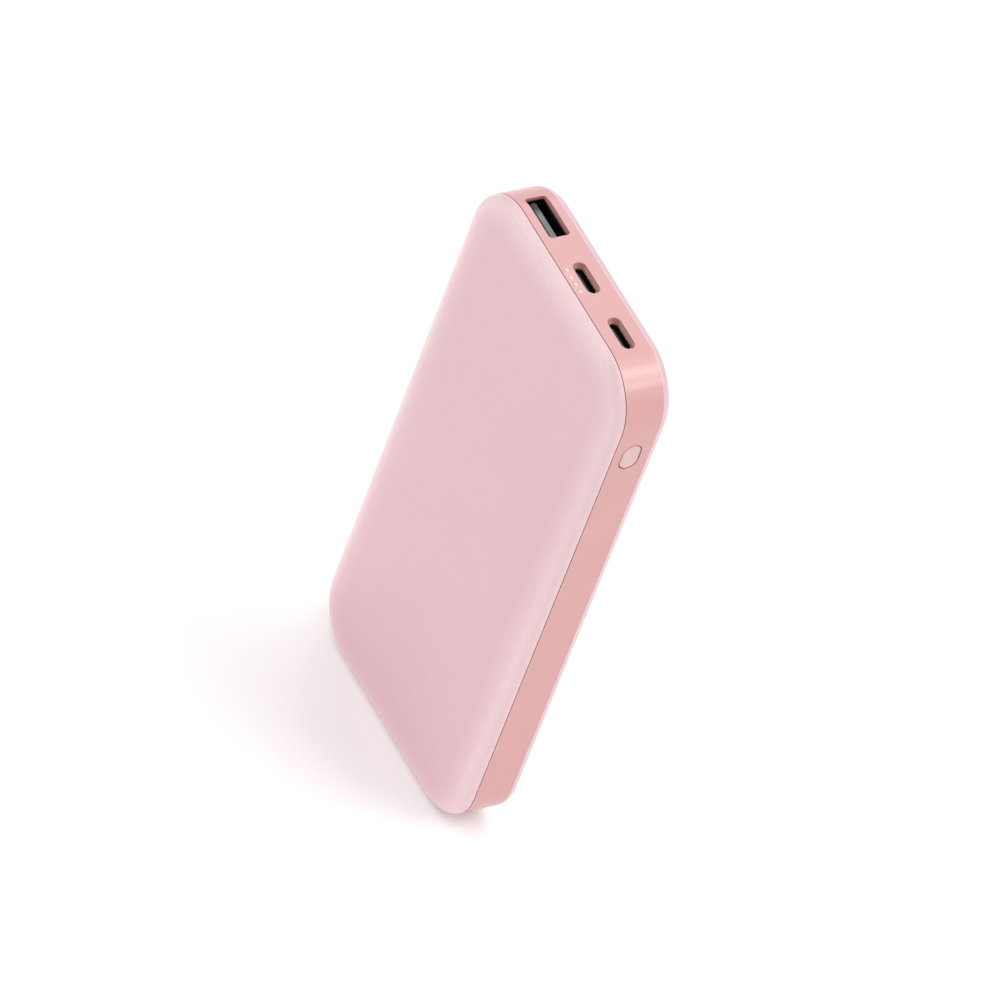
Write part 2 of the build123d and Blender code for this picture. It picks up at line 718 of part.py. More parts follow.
with BuildPart() as power_transistors:
    with Locations(
        *[(x, PCB_FRONT - 0.4, z) for x in (-23.5, -18.5) for z in (137.4, 142.0)]
    ):
        Box(3.3, 0.8, 3.3)
power_transistors.part.label = "power_transistors"
power_transistors.part.color = Color(0.09, 0.09, 0.1)

with BuildPart() as power_inductors:
    with Locations(
        (-1.6, PCB_FRONT - 1.5, 139.2), (6.6, PCB_FRONT - 1.5, 138.4)
    ):
        Box(6.6, 3.0, 6.6)
    fillet(power_inductors.edges().filter_by(Axis.Y), radius=0.9)
power_inductors.part.label = "power_inductors"
power_inductors.part.color = Color(0.3, 0.3, 0.31)

with BuildPart() as ceramic_capacitors:
    with Locations(
        *[(x, PCB_FRONT - 0.8, 141.0) for x in (13.2, 15.8, 18.4, 21.0)],
        *[(x, PCB_FRONT - 0.8, 136.6) for x in (13.2, 15.8, 18.4)],
    ):
        Box(1.6, 1.6, 3.2)
ceramic_capacitors.part.label = "ceramic_capacitors"
ceramic_capacitors.part.color = Color(0.6, 0.48, 0.35)

with BuildPart() as chip_resistors:
    with Locations(
        *[(x, PCB_FRONT - 0.2, 150.8) for x in (-10.6, -9.1, -7.6)],
        *[(x, PCB_FRONT - 0.2, 135.6) for x in (-12.0, -10.6, -9.2)],
        *[(x, PCB_FRONT - 0.2, 148.6) for x in (7.4, 8.9, 10.4)],
        *[(x, PCB_FRONT - 0.2, 147.2) for x in (26.0, 27.5)],
    ):
        Box(0.8, 0.4, 1.6)
chip_resistors.part.label = "chip_resistors"
chip_resistors.part.color = Color(0.13, 0.13, 0.14)

with BuildPart() as board_screws:
    with BuildSketch(at_y(PCB_FRONT)):
        with Locations(*BOSSES):
            Circle(1.8)
    extrude(amount=1.1)
    fillet(board_screws.faces().group_by(Axis.Y)[0].edges(), radius=0.35)
    with BuildSketch(at_y(PCB_FRONT)):
        with Locations(*BOSSES):
            Circle(0.8)
    extrude(amount=-4.9)
    with BuildSketch(at_y(PCB_FRONT - 1.1)):
        with Locations(*BOSSES):
            Rectangle(2.0, 0.45)
            Rectangle(0.45, 2.0)
    extrude(amount=-0.7, mode=Mode.SUBTRACT)
board_screws.part.label = "board_screws"
board_screws.part.color = Color(0.7, 0.7, 0.72)


# ---------------------------------------------------------------------------
# cells, tape, foam and the partition between cells and board
# ---------------------------------------------------------------------------
CELL_L = CELL_Z1 - CELL_Z0
with BuildPart() as front_cell:
    with BuildSketch(at_y(-TAPE_T / 2)):
        with Locations((0, (CELL_Z0 + CELL_Z1) / 2)):
            RectangleRounded(CELL_W, CELL_L, 3.0)
    extrude(amount=CELL_T)
    fillet(front_cell.faces().sort_by(Axis.Y)[0].edges(), radius=2.0)
    fillet(front_cell.faces().sort_by(Axis.Y)[-1].edges(), radius=0.8)
front_cell.part.label = "front_cell"
front_cell.part.color = Color(0.75, 0.76, 0.78)

with BuildPart() as back_cell:
    with BuildSketch(at_y(TAPE_T / 2)):
        with Locations((0, (CELL_Z0 + CELL_Z1) / 2)):
            RectangleRounded(CELL_W, CELL_L, 3.0)
    extrude(amount=-CELL_T)
    fillet(back_cell.faces().sort_by(Axis.Y)[-1].edges(), radius=2.0)
    fillet(back_cell.faces().sort_by(Axis.Y)[0].edges(), radius=0.8)
back_cell.part.label = "back_cell"
back_cell.part.color = Color(0.73, 0.74, 0.76)

with BuildPart() as cell_tape:
    with BuildSketch(at_y(TAPE_T / 2)):
        with Locations((0, (CELL_Z0 + CELL_Z1) / 2)):
            RectangleRounded(CELL_W - 8, CELL_L - 10, 2.0)
    extrude(amount=TAPE_T)
cell_tape.part.label = "cell_tape"
cell_tape.part.color = Color(0.9, 0.9, 0.86)

FOAM_T = Y_BACK - WALL - TAPE_T / 2 - CELL_T
with BuildPart() as front_foam:
    with BuildSketch(at_y(Y_FRONT + WALL + FOAM_T)):
        with Locations((0, (CELL_Z0 + CELL_Z1) / 2)):
            RectangleRounded(50, 96, 3.0)
            RectangleRounded(38, 84, 2.0, mode=Mode.SUBTRACT)
    extrude(amount=FOAM_T)
front_foam.part.label = "front_foam"
front_foam.part.color = Color(0.2, 0.2, 0.21)

with BuildPart() as back_foam:
    with BuildSketch(at_y(Y_BACK - WALL)):
        with Locations((0, (CELL_Z0 + CELL_Z1) / 2)):
            RectangleRounded(50, 96, 3.0)
            RectangleRounded(38, 84, 2.0, mode=Mode.SUBTRACT)
    extrude(amount=FOAM_T)
back_foam.part.label = "back_foam"
back_foam.part.color = Color(0.2, 0.2, 0.21)

with BuildPart() as bottom_foam:
    with Locations((0, 0, 6.5)):
        Box(36.0, 9.0, 6.6)
    fillet(bottom_foam.edges().filter_by(Axis.Y), radius=1.5)
bottom_foam.part.label = "bottom_foam"
bottom_foam.part.color = Color(0.22, 0.22, 0.23)

DIV_Z = 132.4
with BuildPart() as cell_partition:
    with BuildSketch(Plane.XY.offset(DIV_Z)):
        RectangleRounded(61.0, 14.2, 3.4)
        with Locations((0, 0.2)):
            RectangleRounded(50.0, 5.8, 1.2, mode=Mode.SUBTRACT)
    extrude(amount=1.0)
cell_partition.part.label = "cell_partition"
cell_partition.part.color = Color(0.85, 0.85, 0.83)

with BuildPart() as cell_protection_board:
    with Locations((0, 0, 130.0)):
        Box(40.0, 0.8, 3.4)
    with Locations(*[(x, -0.65, 130.0) for x in (-4.5, 0.0, 4.5)]):
        Box(3.0, 0.5, 2.2)
cell_protection_board.part.label = "cell_protection_board"
cell_protection_board.part.color = Color(0.05, 0.22, 0.13)

TAB_T = 0.2
with BuildPart() as cell_tabs:
    for s in (-1, 1):
        for x in (-12.0, 12.0):
            with BuildSketch(Plane.YZ.offset(x - 2.5)):
                with BuildLine():
                    Polyline(
                        (s * 3.5, CELL_Z1),
                        (s * 3.5, CELL_Z1 + 1.0),
                        (s * 0.6, CELL_Z1 + 2.9),
                        (s * 0.6, CELL_Z1 + 5.2),
                        (s * 0.4, CELL_Z1 + 5.2),
                        (s * 0.4, CELL_Z1 + 2.8),
                        (s * 3.3, CELL_Z1 + 0.9),
                        (s * 3.3, CELL_Z1),
                        close=True,
                    )
                make_face()
            extrude(amount=5.0)
cell_tabs.part.label = "cell_tabs"
cell_tabs.part.color = Color(0.8, 0.8, 0.8)

LEAD_R = 0.65
with BuildPart() as positive_lead:
    with BuildLine() as positive_route:
        FilletPolyline(
            (-18.0, -0.4 - LEAD_R, 128.6),
            (-18.0, -0.4 - LEAD_R, 133.0),
            (-15.2, PCB_FRONT - LEAD_R - 0.02, 136.0),
            (-15.2, PCB_FRONT - LEAD_R - 0.02, 140.0),
            radius=1.6,
        )
    with BuildSketch(Plane(origin=positive_route.line @ 0, z_dir=positive_route.line % 0)):
        Circle(LEAD_R)
    sweep()
positive_lead.part.label = "positive_lead"
positive_lead.part.color = Color(0.75, 0.08, 0.07)

with BuildPart() as negative_lead:
    with BuildLine() as negative_route:
        FilletPolyline(
            (18.0, -0.4 - LEAD_R, 128.6),
            (18.0, -0.4 - LEAD_R, 132.8),
            (23.4, PCB_FRONT - LEAD_R - 0.02, 136.2),
            (23.4, PCB_FRONT - LEAD_R - 0.02, 139.6),
            radius=1.6,
        )
    with BuildSketch(Plane(origin=negative_route.line @ 0, z_dir=negative_route.line % 0)):
        Circle(LEAD_R)
    sweep()
negative_lead.part.label = "negative_lead"
negative_lead.part.color = Color(0.06, 0.06, 0.07)

with BuildPart() as thermistor:
    with BuildSketch(Plane.XY.offset(CELL_Z1 + 0.1)):
        with Locations((-6.5, -2.4)):
            Circle(1.0)
    extrude(amount=1.9)
    fillet(thermistor.edges().filter_by(GeomType.CIRCLE), radius=0.5)
    with BuildSketch(Plane.XY.offset(CELL_Z1 + 2.0)):
        with Locations((-6.9, -2.4), (-6.1, -2.4)):
            Circle(0.22)
    extrude(amount=5.0)
thermistor.part.label = "thermistor"
thermistor.part.color = Color(0.1, 0.1, 0.1)


# ---------------------------------------------------------------------------
# one file for each piece
# ---------------------------------------------------------------------------
export_step(front_cover.part, "parts/front_cover.step")
export_step(back_cover.part, "parts/back_cover.step")
export_step(side_frame.part, "parts/side_frame.step")
export_step(power_button.part, "parts/power_button.step")
export_step(switch_body.part, "parts/switch_body.step")
export_step(switch_retainer.part, "parts/switch_retainer.step")
export_step(switch_plunger.part, "parts/switch_plunger.step")
export_step(switch_dome.part, "parts/switch_dome.step")
export_step(light_guide.part, "parts/light_guide.step")
export_step(status_leds.part, "parts/status_leds.step")
export_step(usb_a_shell.part, "parts/usb_a_shell.step")
export_step(usb_a_tongue.part, "parts/usb_a_tongue.step")
export_step(usb_a_contacts.part, "parts/usb_a_contacts.step")
export_step(usb_c_1_shell.part, "parts/usb_c_1_shell.step")
export_step(usb_c_1_tongue.part, "parts/usb_c_1_tongue.step")
export_step(usb_c_1_contacts.part, "parts/usb_c_1_contacts.step")
export_step(usb_c_2_shell.part, "parts/usb_c_2_shell.step")
export_step(usb_c_2_tongue.part, "parts/usb_c_2_tongue.step")
export_step(usb_c_2_contacts.part, "parts/usb_c_2_contacts.step")
export_step(main_board.part, "parts/main_board.step")
export_step(charge_controller.part, "parts/charge_controllers.step")
export_step(power_transistors.part, "parts/power_transistors.step")
export_step(power_inductors.part, "parts/power_inductors.step")
export_step(ceramic_capacitors.part, "parts/ceramic_capacitors.step")
export_step(chip_resistors.part, "parts/chip_resistors.step")
export_step(board_screws.part, "parts/board_screws.step")
export_step(front_cell.part, "parts/front_cell.step")
export_step(back_cell.part, "parts/back_cell.step")
export_step(cell_tape.part, "parts/cell_tape.step")
export_step(front_foam.part, "parts/front_foam.step")
export_step(back_foam.part, "parts/back_foam.step")
export_step(bottom_foam.part, "parts/bottom_foam.step")
export_step(cell_partition.part, "parts/cell_partition.step")
export_step(cell_protection_board.part, "parts/cell_protection_board.step")
export_step(cell_tabs.part, "parts/cell_tabs.step")
export_step(positive_lead.part, "parts/positive_lead.step")
export_step(negative_lead.part, "parts/negative_lead.step")
export_step(thermistor.part, "parts/thermistor.step")
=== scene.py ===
import math

import bpy
from mathutils import Matrix, Vector


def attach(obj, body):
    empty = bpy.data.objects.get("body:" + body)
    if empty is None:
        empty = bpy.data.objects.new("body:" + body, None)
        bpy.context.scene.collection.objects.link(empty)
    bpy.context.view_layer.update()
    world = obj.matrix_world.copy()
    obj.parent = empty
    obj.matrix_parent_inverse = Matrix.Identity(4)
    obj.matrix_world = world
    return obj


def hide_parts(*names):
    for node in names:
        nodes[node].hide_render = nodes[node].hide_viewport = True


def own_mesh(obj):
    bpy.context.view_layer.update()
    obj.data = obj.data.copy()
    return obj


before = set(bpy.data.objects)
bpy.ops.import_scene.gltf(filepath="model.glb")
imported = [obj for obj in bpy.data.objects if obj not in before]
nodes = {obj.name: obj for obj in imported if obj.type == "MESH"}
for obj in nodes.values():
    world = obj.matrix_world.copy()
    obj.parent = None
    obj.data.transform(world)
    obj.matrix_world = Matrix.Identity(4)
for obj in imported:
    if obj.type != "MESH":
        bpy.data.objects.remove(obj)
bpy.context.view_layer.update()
scene = bpy.context.scene


# ---------------------------------------------------------------------------
# node helpers
# ---------------------------------------------------------------------------
def srgb(r, g, b):
    """8-bit display colour to linear RGBA."""
    out = []
    for c in (r, g, b):
        c = c / 255.0
        out.append(c / 12.92 if c <= 0.04045 else ((c + 0.055) / 1.055) ** 2.4)
    return (*out, 1.0)


# paint colours (linear) and finish of the outer parts
COVER = (0.550, 0.326, 0.368, 1.0)
# painted highlight: the next two colours make the covers' rounded edges lighter
COVER_EDGE_HIGHLIGHT = (0.642, 0.446, 0.470, 1.0)
BACK_EDGE_HIGHLIGHT = (0.612, 0.402, 0.438, 1.0)
BAND = (0.534, 0.262, 0.252, 1.0)
BAND_LIT = (0.570, 0.312, 0.300, 1.0)
BUTTON = (0.590, 0.375, 0.372, 1.0)
# painted shade: the dark colour put inside the front seam's groove, on the cover's rim there and in the
# button's gap
SEAM_SHADE = srgb(146, 88, 90)
TONGUE_LIP_Y = -0.001430
DOT_X0 = -0.00315
DOT_PITCH = 0.0023
DOT_Y = -0.00345
DOT_R = 0.00062
COVER_SPEC = 1.0
COVER_ROUGH = 0.41
COVER_POLISH = 0.02
STRIP = 0.008


class Mat:
    """A node material with a Principled shader."""

    def __init__(self, name):
        self.mat = bpy.data.materials.new(name)
        self.mat.use_nodes = True
        self.nt = self.mat.node_tree
        self.nt.nodes.clear()
        self.out = self.nt.nodes.new("ShaderNodeOutputMaterial")
        self.bsdf = self.nt.nodes.new("ShaderNodeBsdfPrincipled")
        self.link(self.bsdf.outputs["BSDF"], self.out.inputs["Surface"])
        self.coord = None

    def link(self, a, b):
        self.nt.links.new(a, b)

    def node(self, kind, **values):
        n = self.nt.nodes.new(kind)
        for key, value in values.items():
            if hasattr(n, key):
                setattr(n, key, value)
            else:
                n.inputs[key].default_value = value
        return n

    def set(self, **values):
        for key, value in values.items():
            self.bsdf.inputs[key.replace("_", " ")].default_value = value
        return self

    def place(self):
        if self.coord is None:
            self.coord = self.nt.nodes.new("ShaderNodeTexCoord")
        return self.coord.outputs["Object"]

    def noise(self, scale, detail=2.0, rough=0.5, stretch=None):
        n = self.node("ShaderNodeTexNoise")
        n.inputs["Scale"].default_value = scale
        n.inputs["Detail"].default_value = detail
        n.inputs["Roughness"].default_value = rough
        if stretch is None:
            self.link(self.place(), n.inputs["Vector"])
        else:
            m = self.node("ShaderNodeMapping")
            m.inputs["Scale"].default_value = stretch
            self.link(self.place(), m.inputs["Vector"])
            self.link(m.outputs["Vector"], n.inputs["Vector"])
        return n.outputs["Fac"]

    def voronoi(self, scale, feature="F1"):
        n = self.node("ShaderNodeTexVoronoi")
        n.feature = feature
        n.inputs["Scale"].default_value = scale
        self.link(self.place(), n.inputs["Vector"])
        return n.outputs["Distance"]

    def range(self, value, a, b, lo, hi):
        n = self.node("ShaderNodeMapRange")
        n.inputs["From Min"].default_value = a
        n.inputs["From Max"].default_value = b
        n.inputs["To Min"].default_value = lo
        n.inputs["To Max"].default_value = hi
        self.link(value, n.inputs["Value"])
        return n.outputs["Result"]

    def mix(self, fac, a, b):
        n = self.nt.nodes.new("ShaderNodeMix")
        n.data_type = "RGBA"
        for socket, value in (("Factor", fac), ("A", a), ("B", b)):
            ins = [i for i in n.inputs if i.name == socket and i.enabled]
            target = ins[0]
            if isinstance(value, bpy.types.NodeSocket):
                self.link(value, target)
            else:
                target.default_value = value
        return [o for o in n.outputs if o.enabled][0]

    def math(self, op, a, b):
        n = self.node("ShaderNodeMath")
        n.operation = op
        for i, v in enumerate((a, b)):
            if isinstance(v, bpy.types.NodeSocket):
                self.link(v, n.inputs[i])
            else:
                n.inputs[i].default_value = v
        return n.outputs["Value"]

    def axis(self, name):
        """One coordinate of the place on the part, in metres."""
        n = self.node("ShaderNodeSeparateXYZ")
        self.link(self.place(), n.inputs["Vector"])
        return n.outputs[name]

    def above(self, value, edge, soft=0.00003):
        """0 below the edge, 1 above it."""
        return self.range(value, edge - soft, edge + soft, 0.0, 1.0)

    def below(self, value, edge, soft=0.00003):
        return self.range(value, edge - soft, edge + soft, 1.0, 0.0)

    def both(self, *masks):
        out = masks[0]
        for m in masks[1:]:
            out = self.math("MULTIPLY", out, m)
        return out

    def bump(self, height, distance, strength=1.0, normal=None):
        n = self.node("ShaderNodeBump")
        n.inputs["Strength"].default_value = strength
        n.inputs["Distance"].default_value = distance
        self.link(height, n.inputs["Height"])
        if normal is not None:
            self.link(normal, n.inputs["Normal"])
        return n.outputs["Normal"]

    def colour(self, socket):
        self.link(socket, self.bsdf.inputs["Base Color"])

    def roughness(self, socket):
        self.link(socket, self.bsdf.inputs["Roughness"])

    def normal(self, socket):
        self.link(socket, self.bsdf.inputs["Normal"])


def tint(colour, k):
    """The same colour, k times as light (linear)."""
    return (*[min(1.0, c * k) for c in colour[:3]], 1.0)


def soft_touch(name, base, edge, seam_y, seam_side, side):
    """Matte soft-touch paint: a fine even grain, faint mottling, a soft sheen, a smoother skin where
    hands polish the rounded edge, a painted highlight lightening that edge, and painted shade inside the
    seam."""
    m = Mat(name)
    m.set(IOR=1.5)
    m.bsdf.inputs["Specular IOR Level"].default_value = COVER_SPEC
    m.bsdf.inputs["Sheen Weight"].default_value = 0.10
    m.bsdf.inputs["Sheen Roughness"].default_value = 0.5
    y = m.axis("Y")
    # rounded-edge mask: smoother there from wear, and lighter in colour from a painted highlight
    edge_wear_and_highlight = m.range(m.math("MULTIPLY", y, side), 0.0080, 0.0089, 1.0, 0.0)
    broad = m.noise(38.0, 2.0, 0.5)
    fine = m.noise(2600.0, 2.0, 0.6)
    c0 = m.mix(edge_wear_and_highlight, base, edge)
    c1 = m.mix(m.range(broad, 0.3, 0.7, 0.0, 0.02), c0, (1.0, 1.0, 1.0, 1.0))
    c2 = m.mix(m.range(fine, 0.45, 0.75, 0.0, 0.35), c1, tint(base, 0.93))
    # painted shade on the cover's rim where it sits inside the seam
    seam = m.above(y, seam_y) if seam_side > 0 else m.below(y, seam_y)
    m.colour(m.mix(seam, c2, SEAM_SHADE))
    grit = m.range(m.noise(900.0, 3.0, 0.6), 0.3, 0.7, COVER_ROUGH - 0.04, COVER_ROUGH + 0.04)
    m.roughness(m.math("SUBTRACT", grit, m.math("MULTIPLY", edge_wear_and_highlight, COVER_POLISH)))
    grain = m.bump(m.noise(3600.0, 2.0, 0.5), 0.00002, 0.35)
    m.normal(m.bump(m.noise(9.0, 1.0, 0.4), 0.0006, 0.12, grain))
    return m.mat


def satin_plastic(name, base, rough, shade=None, spec=1.0, halo=None):
    """Satin moulded plastic; shade(m) gives a mask for the painted shade inside gaps."""
    m = Mat(name)
    m.set(IOR=1.5)
    m.bsdf.inputs["Specular IOR Level"].default_value = spec
    c = m.mix(m.range(m.noise(60.0, 2.0, 0.5), 0.3, 0.7, 0.0, 1.0), tint(base, 0.985), tint(base, 1.015))
    if halo is not None:
        c = m.mix(halo(m), c, BAND_LIT)
    if shade is not None:
        c = m.mix(shade(m), c, SEAM_SHADE)
    m.colour(c)
    m.roughness(m.range(m.noise(300.0, 3.0, 0.6), 0.3, 0.7, rough - 0.02, rough + 0.02))
    m.normal(m.bump(m.noise(1500.0, 2.0, 0.5), 0.000004, 0.12))
    return m.mat


def frame_gap_shade(m):
    """Painted shade: the inside of the front seam's groove and the walls of the button opening."""
    x, y, z = m.axis("X"), m.axis("Y"), m.axis("Z")
    groove = m.below(y, -0.00508, 0.00002)
    button = m.both(
        m.below(x, 0.03622),
        m.above(x, 0.0335),
        m.above(z, 0.1322),
        m.below(z, 0.1414),
        m.above(y, -0.0031),
        m.below(y, 0.0029),
    )
    return m.math("MAXIMUM", groove, button)


def dot_halo(m):
    """Soft light that the four dots spread on the wall around them."""
    along = m.math("ABSOLUTE", m.math("SUBTRACT", m.axis("X"), DOT_X0 + 1.5 * DOT_PITCH), 0.0)
    past = m.math("MAXIMUM", m.math("SUBTRACT", along, 1.5 * DOT_PITCH), 0.0)
    across = m.math("SUBTRACT", m.axis("Y"), DOT_Y)
    r = m.math("SQRT", m.math("ADD", m.math("MULTIPLY", past, past), m.math("MULTIPLY", across, across)), 0.0)
    return m.both(m.range(r, 0.0005, 0.0015, 1.0, 0.0), m.above(m.axis("Z"), 0.1585))


# painted shade on the button's sides inside its gap
def button_gap_shade(m):
    return m.below(m.axis("X"), 0.03644)


def metal(name, base, rough, stretch=(1, 1, 1), scale=900.0):
    m = Mat(name)
    m.set(Metallic=1.0)
    n = m.noise(scale, 3.0, 0.6, stretch)
    m.colour(m.mix(m.range(n, 0.3, 0.7, 0.0, 1.0), base, tuple([c * 0.85 for c in base[:3]] + [1.0])))
    m.roughness(m.range(n, 0.3, 0.7, rough * 0.85, rough * 1.2))
    m.normal(m.bump(n, 0.00001, 0.25))
    return m.mat


def plain(name, base, other, rough, scale=400.0, bump=0.00001, spec=None):
    m = Mat(name)
    n = m.noise(scale, 3.0, 0.6)
    m.colour(m.mix(m.range(n, 0.35, 0.65, 0.0, 1.0), base, other))
    m.roughness(m.range(n, 0.3, 0.7, rough * 0.9, rough * 1.1))
    m.normal(m.bump(n, bump, 0.4))
    return m.mat


def milky(name):
    m = Mat(name)
    m.set(IOR=1.49, Roughness=0.3)
    m.bsdf.inputs["Transmission Weight"].default_value = 0.25
    m.bsdf.inputs["Subsurface Weight"].default_value = 0.4
    m.bsdf.inputs["Subsurface Radius"].default_value = (1.0, 0.7, 0.6)
    m.bsdf.inputs["Subsurface Scale"].default_value = 0.0006
    # painted glow: a faint emission makes the guide glow a little
    m.bsdf.inputs["Emission Color"].default_value = (1.0, 0.74, 0.72, 1.0)
    m.bsdf.inputs["Emission Strength"].default_value = 0.03
    # each dot is brightest in its middle
    x = m.math("SUBTRACT", m.axis("X"), DOT_X0 - DOT_PITCH / 2)
    x = m.math("SUBTRACT", m.math("FLOORED_MODULO", x, DOT_PITCH), DOT_PITCH / 2)
    y = m.math("SUBTRACT", m.axis("Y"), DOT_Y)
    r = m.math("SQRT", m.math("ADD", m.math("MULTIPLY", x, x), m.math("MULTIPLY", y, y)), 0.0)
    glow = m.range(r, 0.00018, DOT_R, 1.0, 0.0)
    n = m.noise(500.0, 2.0, 0.5)
    c = m.mix(n, srgb(240, 186, 182), srgb(236, 178, 174))
    m.colour(m.mix(glow, c, srgb(254, 224, 220)))
    return m.mat


def socket_tongue(name):
    """Grey insulator of the USB-A socket, dark where the mouth shades it."""
    m = Mat(name)
    n = m.noise(400.0, 3.0, 0.6)
    c = m.mix(m.range(n, 0.35, 0.65, 0.0, 1.0), srgb(110, 114, 111), srgb(100, 104, 101))
    x, y = m.axis("X"), m.axis("Y")
    end = m.range(x, -0.0236, -0.0216, 1.0, 0.0)
    lip = m.below(y, TONGUE_LIP_Y, 0.00006)
    c = m.mix(end, c, srgb(26, 24, 24))
    m.colour(m.mix(lip, c, srgb(30, 27, 27)))
    m.roughness(m.range(n, 0.3, 0.7, 0.40, 0.50))
    m.normal(m.bump(n, 0.00001, 0.4))
    return m.mat


# ---------------------------------------------------------------------------
# materials
# ---------------------------------------------------------------------------
MATS = {
    "front_cover": soft_touch("soft_touch_front", COVER, COVER_EDGE_HIGHLIGHT, -0.00531, 1, -1.0),
    "back_cover": soft_touch("soft_touch_back", COVER, BACK_EDGE_HIGHLIGHT, -1.0, -1, 1.0),
    "side_frame": satin_plastic("satin_frame", BAND, 0.25, frame_gap_shade, 0.85, dot_halo),
    "power_button": satin_plastic("button_cap", BUTTON, 0.33, button_gap_shade, 0.65),
    "light_guide": milky("clear_guide"),
    "status_leds": plain("led_emitter", srgb(250, 240, 205), srgb(244, 232, 196), 0.3),
    # the USB-A shell's metal is darkened as painted shade for the dark inside of the socket
    "usb_a_shell": metal("socket_metal_a", srgb(84, 79, 78), 0.36),
    "usb_c_1_shell": metal("socket_metal_c1", srgb(206, 196, 190), 0.25),
    "usb_c_2_shell": metal("socket_metal_c2", srgb(206, 196, 190), 0.25),
    "usb_a_tongue": socket_tongue("tongue_grey"),
    "usb_c_1_tongue": plain("tongue_black_1", srgb(30, 28, 30), srgb(24, 22, 24), 0.4),
    "usb_c_2_tongue": plain("tongue_black_2", srgb(30, 28, 30), srgb(24, 22, 24), 0.4),
    "usb_a_contacts": metal("gold_a", srgb(222, 182, 102), 0.25),
    "usb_c_1_contacts": metal("gold_c1", srgb(222, 182, 102), 0.25),
    "usb_c_2_contacts": metal("gold_c2", srgb(222, 182, 102), 0.25),
    "main_board": plain("solder_mask", srgb(26, 92, 58), srgb(22, 82, 52), 0.35, 300.0),
    "cell_protection_board": plain("solder_mask_2", srgb(26, 92, 58), srgb(22, 82, 52), 0.35, 300.0),
    "charge_controllers": plain("chip_epoxy", srgb(34, 34, 36), srgb(28, 28, 30), 0.55, 1500.0),
    "power_transistors": plain("chip_epoxy_2", srgb(34, 34, 36), srgb(28, 28, 30), 0.55, 1500.0),
    "chip_resistors": plain("chip_epoxy_3", srgb(38, 38, 40), srgb(30, 30, 32), 0.5, 1500.0),
    "power_inductors": plain("ferrite", srgb(92, 92, 94), srgb(80, 80, 83), 0.6, 1800.0, 0.00003),
    "ceramic_capacitors": plain("ceramic", srgb(178, 148, 116), srgb(168, 138, 108), 0.45, 1200.0),
    "switch_body": plain("switch_black", srgb(30, 30, 32), srgb(26, 26, 28), 0.5),
    "switch_retainer": metal("switch_metal", srgb(190, 190, 194), 0.3),
    "switch_plunger": plain("nylon", srgb(232, 230, 222), srgb(226, 224, 216), 0.5),
    "switch_dome": metal("dome_steel", srgb(198, 198, 200), 0.25),
    "board_screws": metal("screw_zinc", srgb(184, 184, 188), 0.3),
    "front_cell": metal("cell_foil_1", srgb(200, 202, 206), 0.42, (1, 1, 1), 220.0),
    "back_cell": metal("cell_foil_2", srgb(200, 202, 206), 0.42, (1, 1, 1), 220.0),
    "cell_tabs": metal("tab_nickel", srgb(206, 206, 208), 0.3),
    "cell_tape": plain("tape", srgb(232, 228, 208), srgb(226, 222, 200), 0.6),
    "front_foam": plain("foam_1", srgb(52, 52, 54), srgb(42, 42, 44), 0.9, 3000.0, 0.00008),
    "back_foam": plain("foam_2", srgb(52, 52, 54), srgb(42, 42, 44), 0.9, 3000.0, 0.00008),
    "bottom_foam": plain("foam_3", srgb(52, 52, 54), srgb(42, 42, 44), 0.9, 3000.0, 0.00008),
    "cell_partition": plain("partition", srgb(222, 222, 218), srgb(214, 214, 210), 0.5),
    "positive_lead": plain("lead_red", srgb(188, 36, 30), srgb(176, 30, 26), 0.4),
    "negative_lead": plain("lead_black", srgb(34, 34, 36), srgb(28, 28, 30), 0.4),
    "thermistor": plain("thermistor_bead", srgb(42, 34, 34), srgb(34, 28, 28), 0.3),
}
for name, obj in nodes.items():
    obj.data.materials.clear()
    obj.data.materials.append(MATS[name])

# ---------------------------------------------------------------------------
# a copy of the snap dome's mesh, on the housing body, stands in for the CAD dome, which is hidden
# ---------------------------------------------------------------------------
cad_dome = nodes["switch_dome"].data
dome_mesh = bpy.data.meshes.new("snap_dome")
dome_mesh.from_pydata(
    [tuple(v.co) for v in cad_dome.vertices],
    [],
    [tuple(p.vertices) for p in cad_dome.polygons],
)
for p, q in zip(dome_mesh.polygons, cad_dome.polygons):
    p.use_smooth = q.use_smooth
dome_mesh.materials.append(MATS["switch_dome"])
dome = bpy.data.objects.new("snap_dome", dome_mesh)
scene.collection.objects.link(dome)
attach(dome, "housing")
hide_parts("switch_dome")
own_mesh(dome)

# ---------------------------------------------------------------------------
# floor, light, camera
# ---------------------------------------------------------------------------
bpy.ops.mesh.primitive_plane_add(size=24.0, location=(0, 0, 0))
floor = bpy.context.object
floor.name = "floor"
fm = Mat("floor_paper")
fm.set(Roughness=0.9)
fm.bsdf.inputs["Specular IOR Level"].default_value = 0.1
fm.colour(fm.mix(fm.noise(20.0, 2.0, 0.5), srgb(246, 246, 246), srgb(250, 250, 250)))
floor.data.materials.append(fm.mat)

world = bpy.data.worlds.new("studio")
scene.world = world
world.use_nodes = True
bg = world.node_tree.nodes["Background"]
bg.inputs["Color"].default_value = (1.0, 1.0, 1.0, 1.0)
# even overhead light, with a bright ring at the horizon that the floor fades into
wt = world.node_tree
ring = wt.nodes.new("ShaderNodeMapRange")
ring.inputs["From Min"].default_value = 0.05
ring.inputs["From Max"].default_value = 0.11
ring.inputs["To Min"].default_value = 1.05
ring.inputs["To Max"].default_value = 0.375
split = wt.nodes.new("ShaderNodeSeparateXYZ")
wt.links.new(wt.nodes.new("ShaderNodeTexCoord").outputs["Generated"], split.inputs["Vector"])
wt.links.new(split.outputs["Z"], ring.inputs["Value"])
wt.links.new(ring.outputs["Result"], bg.inputs["Strength"])


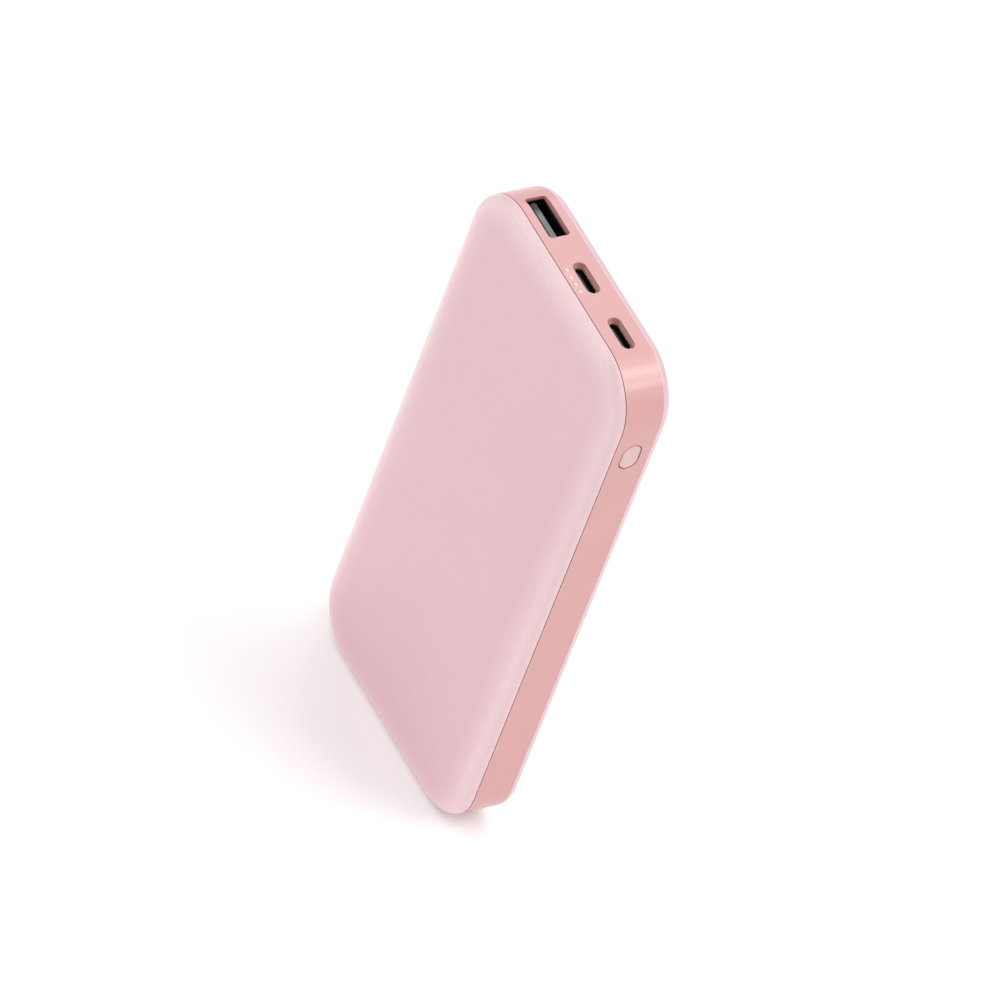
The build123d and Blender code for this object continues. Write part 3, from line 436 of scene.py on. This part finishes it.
def softbox(name, towards, amount, half_angle):
    """A round softbox far away in one direction: amount is what it adds to a white surface that faces it."""
    data = bpy.data.lights.new(name, "SUN")
    data.energy = math.pi * amount
    data.angle = math.radians(2 * half_angle)
    obj = bpy.data.objects.new(name, data)
    scene.collection.objects.link(obj)
    obj.location = Vector(towards).normalized() * 2.0
    obj.rotation_euler = Vector(towards).to_track_quat("Z", "Y").to_euler()
    obj.visible_camera = False
    return obj


softbox("front_left", (-0.50, -0.68, 0.53), 0.168, 25.0)
softbox("front_low", (-0.51, -0.85, 0.12), 0.285, 26.0)
softbox("top_left", (-0.50, -0.25, 0.83), 0.166, 18.0)
softbox("key_right", (0.75, -0.45, 0.48), 0.240, 25.0)
softbox("back_left", (-0.5007, 0.487, 0.7151), 0.176, 18.0)
softbox("back_middle", (0.10, 0.487, 0.868), 0.250, 18.0)
softbox("back_right", (0.4365, 0.487, 0.756), 0.248, 17.0)
softbox("back_far_right", (0.6879, 0.487, 0.5375), 0.105, 14.0)
softbox("back_low_right", (0.852, 0.487, 0.19), 0.048, 12.0)
softbox("back_low_left", (-0.80, 0.487, 0.35), 0.065, 16.0)

# a low strip in front of the face gives back the light the floor's own shade takes away
strip = bpy.data.lights.new("front_strip", "AREA")
strip.shape = "RECTANGLE"
strip.size = 0.24
strip.size_y = 0.03
strip.spread = math.radians(80.0)
strip.energy = STRIP
strip_box = bpy.data.objects.new("front_strip", strip)
scene.collection.objects.link(strip_box)
strip_box.location = (-0.015, -0.13, 0.02)
strip_box.rotation_euler = Vector((0.0, -1.0, 0.0)).to_track_quat("Z", "Y").to_euler()
strip_box.visible_camera = False

cam_data = bpy.data.cameras.new("camera")
cam = bpy.data.objects.new("camera", cam_data)
scene.collection.objects.link(cam)
right = Vector((0.45000718602900347, 0.8536634595195596, 0.26220646522035884))
down = Vector((0.7312195236561012, -0.1836765712767685, -0.6569481907944907))
look = Vector((-0.5126514807804639, 0.4873618933042545, -0.7068711652122261))
t = Vector((-8.643613030983113, 2.321114246424555, 3307.821062932596))
centre = -(right * t.x + down * t.y + look * t.z) + Vector((0.0, -9.0, 80.0))
m = Matrix.Identity(4)
for i in range(3):
    m[i][0] = right[i]
    m[i][1] = -down[i]
    m[i][2] = -look[i]
    m[i][3] = centre[i] / 1000.0
cam.matrix_world = m
cam_data.sensor_width = 36.0
cam_data.lens = 14000.0 * 36.0 / 1000.0
cam_data.clip_start = 0.05
cam_data.clip_end = 60.0
scene.camera = cam

scene.view_settings.view_transform = "Standard"
scene.view_settings.look = "None"
